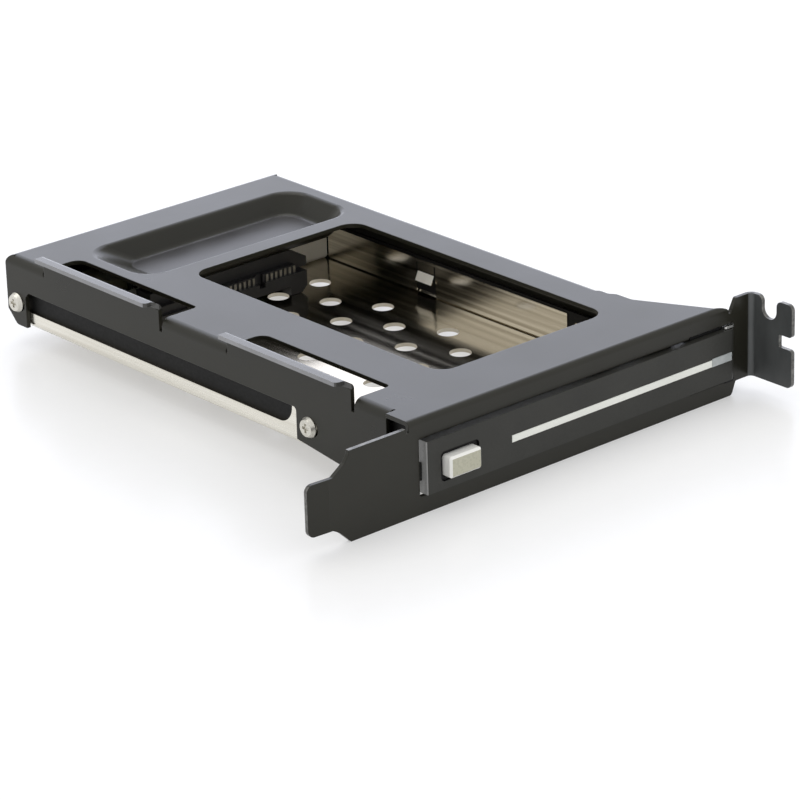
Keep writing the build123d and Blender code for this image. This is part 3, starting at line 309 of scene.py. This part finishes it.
def clouded_paint(name, cells, detail, darkest, lightest, roughness, ior):
    """A shader for paint whose tone and gloss follow one soft pattern."""
    shader = Shader(name)
    clouds = shader.noise(cells, detail)
    shader.tone(clouds, darkest, lightest)
    shader.gloss(clouds, *roughness)
    shader.set(IOR=ior)
    return shader


def black_paint():
    """Satin black paint on folded sheet, with a faint orange-peel surface."""
    darkest = (0.0145, 0.0138, 0.0088)
    lightest = (0.019, 0.0182, 0.0120)
    shader = clouded_paint("black_paint", (60, 60, 60), 4, darkest, lightest, (0.27, 0.33), 1.38)
    peel = shader.noise((2600, 2600, 2600), 2)
    shader.bump(peel, 0.06, 0.00004, 0.00022)
    return shader.material


def lip_painted_highlight():
    """Glossier paint on the folded lips, lighter than the black paint: a painted highlight for the light
    the lip tops catch.
    """
    darkest = (0.056, 0.055, 0.052)
    lightest = (0.076, 0.075, 0.071)
    return clouded_paint("lip_painted_highlight", (200, 200, 200), 3, darkest, lightest, (0.18, 0.26), 1.5).material


def tab_painted_light():
    """Rougher paint on the screw tab, lighter than the black paint: painted light for the light the tab
    catches.
    """
    darkest = (0.048, 0.051, 0.051)
    lightest = (0.072, 0.076, 0.076)
    return clouded_paint("tab_painted_light", (260, 260, 90), 4, darkest, lightest, (0.36, 0.48), 1.5).material


def dish_floor_painted_light():
    """Paint on the floor of the pressed recess, a little duller, and lighter than the black paint: painted
    light for the light the recess floor catches.
    """
    darkest = (0.036, 0.035, 0.036)
    lightest = (0.050, 0.049, 0.050)
    return clouded_paint("dish_floor_painted_light", (150, 150, 150), 4, darkest, lightest, (0.30, 0.38), 1.45).material


def cut_edge_painted_highlight():
    """Cut edges of the sheet, lighter and partly metallic in patches: a painted highlight for the light
    their rounded burrs catch.
    """
    shader = Shader("cut_edge_painted_highlight")
    edge_patches = shader.noise((900, 900, 900), 4)
    shader.tone(edge_patches, (0.07, 0.069, 0.064), (0.18, 0.176, 0.165), 0.4, 0.65)
    shader.gloss(edge_patches, 0.25, 0.4)
    shader.set(Metallic=0.4)
    return shader.material


def bare_metal(name, darkest, lightest, roughness, grain):
    """Bare metal with a faint rolling grain."""
    shader = Shader(name)
    streaks = shader.noise(grain, 4)
    shader.tone(streaks, darkest, lightest)
    shader.gloss(streaks, *roughness)
    shader.set(Metallic=1.0)
    shader.bump(streaks, METAL_BUMP, METAL_BUMP_DEPTH)
    return shader.material


def moulded(name, color, rough, variation=0.12, grain=1800, ior=1.5):
    """Moulded plastic with a fine grain and a slight change of tone."""
    shader = Shader(name)
    clouds = shader.noise(MOULDED_CLOUDS, 3)
    fine = shader.noise((grain, grain, grain), 2)
    darkest = tuple(part * (1 - variation) for part in color)
    lightest = tuple(min(1.0, part * (1 + variation)) for part in color)
    shader.tone(clouds, darkest, lightest)
    shader.gloss(fine, rough - SMOOTHER, rough + ROUGHER)
    shader.set(IOR=ior)
    shader.bump(fine, MOULDED_BUMP, MOULDED_BUMP_DEPTH)
    return shader.material


def clear_window():
    """The pale clear end of the light strip."""
    shader = Shader("clear_window")
    clouds = shader.noise((500, 500, 500), 2)
    shader.tone(clouds, (0.62, 0.66, 0.66), (0.74, 0.78, 0.78))
    shader.gloss(clouds, 0.10, 0.16)
    shader.set(IOR=1.49, Transmission_Weight=0.35)
    return shader.material


def board_laminate():
    """Dark solder mask with a faint weave and lighter tracks."""
    shader = Shader("board_laminate")
    tracks = shader.node("ShaderNodeTexBrick")
    tracks.inputs["Scale"].default_value = 1.0
    tracks.inputs["Mortar Size"].default_value = 0.06
    tracks.inputs["Color1"].default_value = as_color((0.020, 0.045, 0.022))
    tracks.inputs["Color2"].default_value = as_color((0.028, 0.060, 0.030))
    tracks.inputs["Mortar"].default_value = as_color((0.060, 0.105, 0.060))
    shader.link(shader.stretched((420, 640, 1)), tracks.inputs["Vector"])
    shader.link(tracks.outputs["Color"], shader.principled.inputs["Base Color"])
    weave = shader.noise((3000, 3000, 3000), 2)
    shader.gloss(weave, 0.32, 0.42)
    shader.bump(weave, 0.1, 0.00003)
    return shader.material


def dress(node, material):
    """Gives a CAD node one material."""
    mesh = frame["nodes"][node].data
    mesh.materials.clear()
    mesh.materials.append(material)


def dress_faces(node, material, chosen):
    """Gives a second material to those faces of a node whose centre and normal pass a test."""
    mesh = frame["nodes"][node].data
    mesh.materials.append(material)
    slot = len(mesh.materials) - 1
    for polygon in mesh.polygons:
        if chosen(polygon.center, polygon.normal):
            polygon.material_index = slot


def on_lip(centre, normal):
    """The lips that stand above the casing top."""
    return centre.z > lip_fold_z


def on_lip_edge(centre, normal):
    """The outer edges of the lips."""
    return on_lip(centre, normal) and centre.x < lip_edge_x and normal.z < NEARLY_FLAT


def on_dish_floor(centre, normal):
    """The flat floor of the pressed recess."""
    return abs(centre.z - dish_floor_z) < dish_floor_gap and normal.z > FLAT


def on_tab(centre, normal):
    """The flat faces of the screw tab."""
    return centre.x > tab_x and abs(normal.x) >= HALF and centre.y < tab_rear_y


def on_tab_bend(centre, normal):
    """The inside of the fold between the bracket plate and the screw tab."""
    least, most = BEND_LEAN
    in_place = centre.x > tab_bend_x and tab_bend_front_y < centre.y < 0
    return in_place and least < abs(normal.x) < most and abs(normal.z) < HALF


def on_cut_edge(centre, normal):
    """The tongue's end, the plate's upper edge at the left and the screw tab's rim."""
    tongue_end = centre.x < tongue_edge_x and normal.x < -HALF
    at_plate = centre.x < plate_end_x and centre.z > plate_top_z and abs(centre.y) < plate_gap_y
    plate_top = at_plate and normal.z > NEARLY_FLAT
    tab_rim = centre.x > tab_x and abs(normal.x) < HALF and centre.y < tab_rear_y
    return tongue_end or plate_top or tab_rim


def on_pan_side(centre, normal):
    """The outer face of the pan's left wall."""
    return centre.x < pan_side_x and normal.x < -SIDE_LEAN


def on_hinge_nose(centre, normal):
    """The end of the hinge bracket that holds the pins."""
    return centre.x > hinge_nose_x and centre.y < hinge_nose_y and centre.z > hinge_nose_z


def on_finger(centre, normal):
    """The sprung finger of a side strip, where it leans into the bay."""
    in_place = finger_front_y < centre.y < finger_rear_y and centre.z < finger_top_z
    return in_place and abs(normal.z) > FINGER_LEAN


def on_button_side(centre, normal):
    """The button's bevels and sides."""
    return normal.y > -FRONT_LEAN


def in_button_recess(centre, normal):
    """The shallow recess round the button in the door."""
    across = button_low.x - recess_margin < centre.x < button_high.x + recess_margin
    upright = button_low.z - recess_margin < centre.z < button_high.z + recess_margin
    return across and upright and centre.y > door_face_y


def on_door_side(centre, normal):
    """The door's free left end."""
    return centre.x < door_side_x and normal.x < -HALF


# The main finish of every node; some of these colours are painted light or painted shade, as noted where
# they are made
LOOKS = {
    "black_paint": ["cover"],
    "pan_steel": ["pan"],
    "pale_steel_and_painted_light": ["rear_stop"],
    "strip_steel": ["left_spring_strip", "right_spring_strip", "latch_spring"],
    "dark_spring": ["catch_spring"],
    "nickel": ["bay_contacts"],
    "screw_zinc": ["side_screws"],
    "zinc": ["board_screws", "door_screws", "hinge_pins", "capacitor_ends", "chip_leads"],
    "rail_black_and_painted_shade": ["left_guide_rail", "right_guide_rail", "latch", "led_holder", "hinge_bracket"],
    "black_moulding": ["bay_connector", "data_connector", "power_connector", "status_chip", "door_back"],
    "door_moulding": ["door_panel"],
    "button_moulding": ["button"],
    "strip_moulding": ["light_strip"],
    "clear_window": ["led_window"],
    "part_grey_painted_light": ["filter_capacitor", "chip_resistors"],
    "part_olive": ["power_inductor"],
    "light_body": ["status_leds"],
    "board_laminate": ["backplane_board", "led_board"],
    "gold_contacts": ["data_contacts", "power_contacts", "board_standoffs"],
}

# Second finishes, mostly painted highlights, painted light and painted shade: node, finish and the test for
# its faces, where a later one goes over an earlier one
SECOND_LOOKS = (
    # Painted highlight on the lips, then on their outer edges
    ("cover", "lip_painted_highlight", on_lip),
    ("cover", "lip_edge_painted_highlight", on_lip_edge),
    # Painted light on the recess floor, the screw tab and its bend
    ("cover", "dish_floor_painted_light", on_dish_floor),
    ("cover", "tab_painted_light", on_tab),
    ("cover", "tab_bend_painted_highlight", on_tab_bend),
    # Painted highlight on the tongue's end, the plate's upper edge and the tab's rim
    ("cover", "cut_edge_painted_highlight", on_cut_edge),
    ("pan", "pan_side_painted_light", on_pan_side),
    ("hinge_bracket", "zinc", on_hinge_nose),
    # Painted light on the sprung fingers
    ("left_spring_strip", "pale_steel_and_painted_light", on_finger),
    ("right_spring_strip", "pale_steel_and_painted_light", on_finger),
    ("button", "button_bevel_painted_highlight", on_button_side),
    # Painted shade: near-black in the recess round the button
    ("door_panel", "rail_black_and_painted_shade", in_button_recess),
    ("door_panel", "door_end_painted_highlight", on_door_side),
)


def make_materials():
    """Every material by its name."""
    made = {
        "black_paint": black_paint(),
        "lip_painted_highlight": lip_painted_highlight(),
        "tab_painted_light": tab_painted_light(),
        "dish_floor_painted_light": dish_floor_painted_light(),
        "cut_edge_painted_highlight": cut_edge_painted_highlight(),
        "clear_window": clear_window(),
        "board_laminate": board_laminate(),
    }
    for name, finish in METALS.items():
        made[name] = bare_metal(name, **finish)
    for name, finish in MOULDINGS.items():
        made[name] = moulded(name, **finish)
    return made


def dress_all():
    """The main finish of every node, then the second ones."""
    materials = make_materials()
    for name, nodes in LOOKS.items():
        for node in nodes:
            dress(node, materials[name])
    for node, name, chosen in SECOND_LOOKS:
        dress_faces(node, materials[name], chosen)


def floor():
    """A plain pale floor under the object."""
    low = cad_box[0][2]
    half = FLOOR_SIZE / 2
    mesh = bpy.data.meshes.new("floor")
    corners = [(-half, -half, low), (half, -half, low), (half, half, low), (-half, half, low)]
    mesh.from_pydata(corners, [], [(0, 1, 2, 3)])
    plane = bpy.data.objects.new("floor", mesh)
    bpy.context.scene.collection.objects.link(plane)
    shader = Shader("floor_paper")
    fine = shader.noise(FLOOR_GRAIN, 2)
    darkest = tuple(part * FLOOR_TONE for part in FLOOR_COLOR)
    shader.tone(fine, darkest, FLOOR_COLOR)
    shader.set(Roughness=0.24, IOR=1.28)
    shader.whiten(FLOOR_WHITE_SHARE)
    mesh.materials.append(shader.material)


def area_light(name, watts, size, position, color, target):
    """A square soft light aimed at a point."""
    data = bpy.data.lights.new(name, "AREA")
    data.energy = watts
    data.size = size
    data.color = color
    lamp = bpy.data.objects.new(name, data)
    lamp.visible_camera = False
    lamp.location = position
    aim = Vector(target) - Vector(position)
    lamp.rotation_euler = aim.to_track_quat("-Z", "Y").to_euler()
    bpy.context.scene.collection.objects.link(lamp)


def world():
    """A plain white surrounding: full white to the camera and in reflections, softer as light."""
    made = bpy.data.worlds.new("studio")
    bpy.context.scene.world = made
    made.use_nodes = True
    tree = made.node_tree
    background = tree.nodes["Background"]
    strength = tree.nodes.new("ShaderNodeMapRange")
    strength.inputs["To Min"].default_value = WORLD_LIGHT
    strength.inputs["To Max"].default_value = 1.0
    tree.links.new(seen_ray(tree), strength.inputs["Value"])
    tree.links.new(strength.outputs["Result"], background.inputs["Strength"])
    background.inputs["Color"].default_value = (1.0, 1.0, 1.0, 1.0)


def camera():
    """The camera at the photograph's place."""
    turn = math.radians(CAMERA_AZIMUTH)
    rise = math.radians(CAMERA_ELEVATION)
    forward = Vector((-math.sin(turn) * math.cos(rise), math.cos(turn) * math.cos(rise), -math.sin(rise)))
    right = forward.cross(Vector((0, 0, 1))).normalized()
    up = right.cross(forward)
    roll = math.radians(CAMERA_ROLL)
    rolled_right = right * math.cos(roll) + up * math.sin(roll)
    rolled_up = up * math.cos(roll) - right * math.sin(roll)
    offset = rolled_right * CAMERA_OFFSET_RIGHT + rolled_up * CAMERA_OFFSET_UP
    place = Vector(CAMERA_AIM) - forward * CAMERA_DISTANCE + offset
    data = bpy.data.cameras.new("camera")
    data.lens = CAMERA_LENS
    data.sensor_width = SENSOR_WIDTH
    made = bpy.data.objects.new("camera", data)
    basis = Matrix((rolled_right, rolled_up, -forward)).transposed()
    made.matrix_world = Matrix.Translation(place) @ basis.to_4x4()
    bpy.context.scene.collection.objects.link(made)
    bpy.context.scene.camera = made


dress_all()
floor()
world()
area_light("key", KEY_WATTS, KEY_SIZE, KEY_POSITION, KEY_COLOR, CAMERA_AIM)
area_light("back", BACK_WATTS, BACK_SIZE, BACK_POSITION, BACK_COLOR, CAMERA_AIM)
camera()
bpy.context.scene.view_settings.view_transform = "Standard"
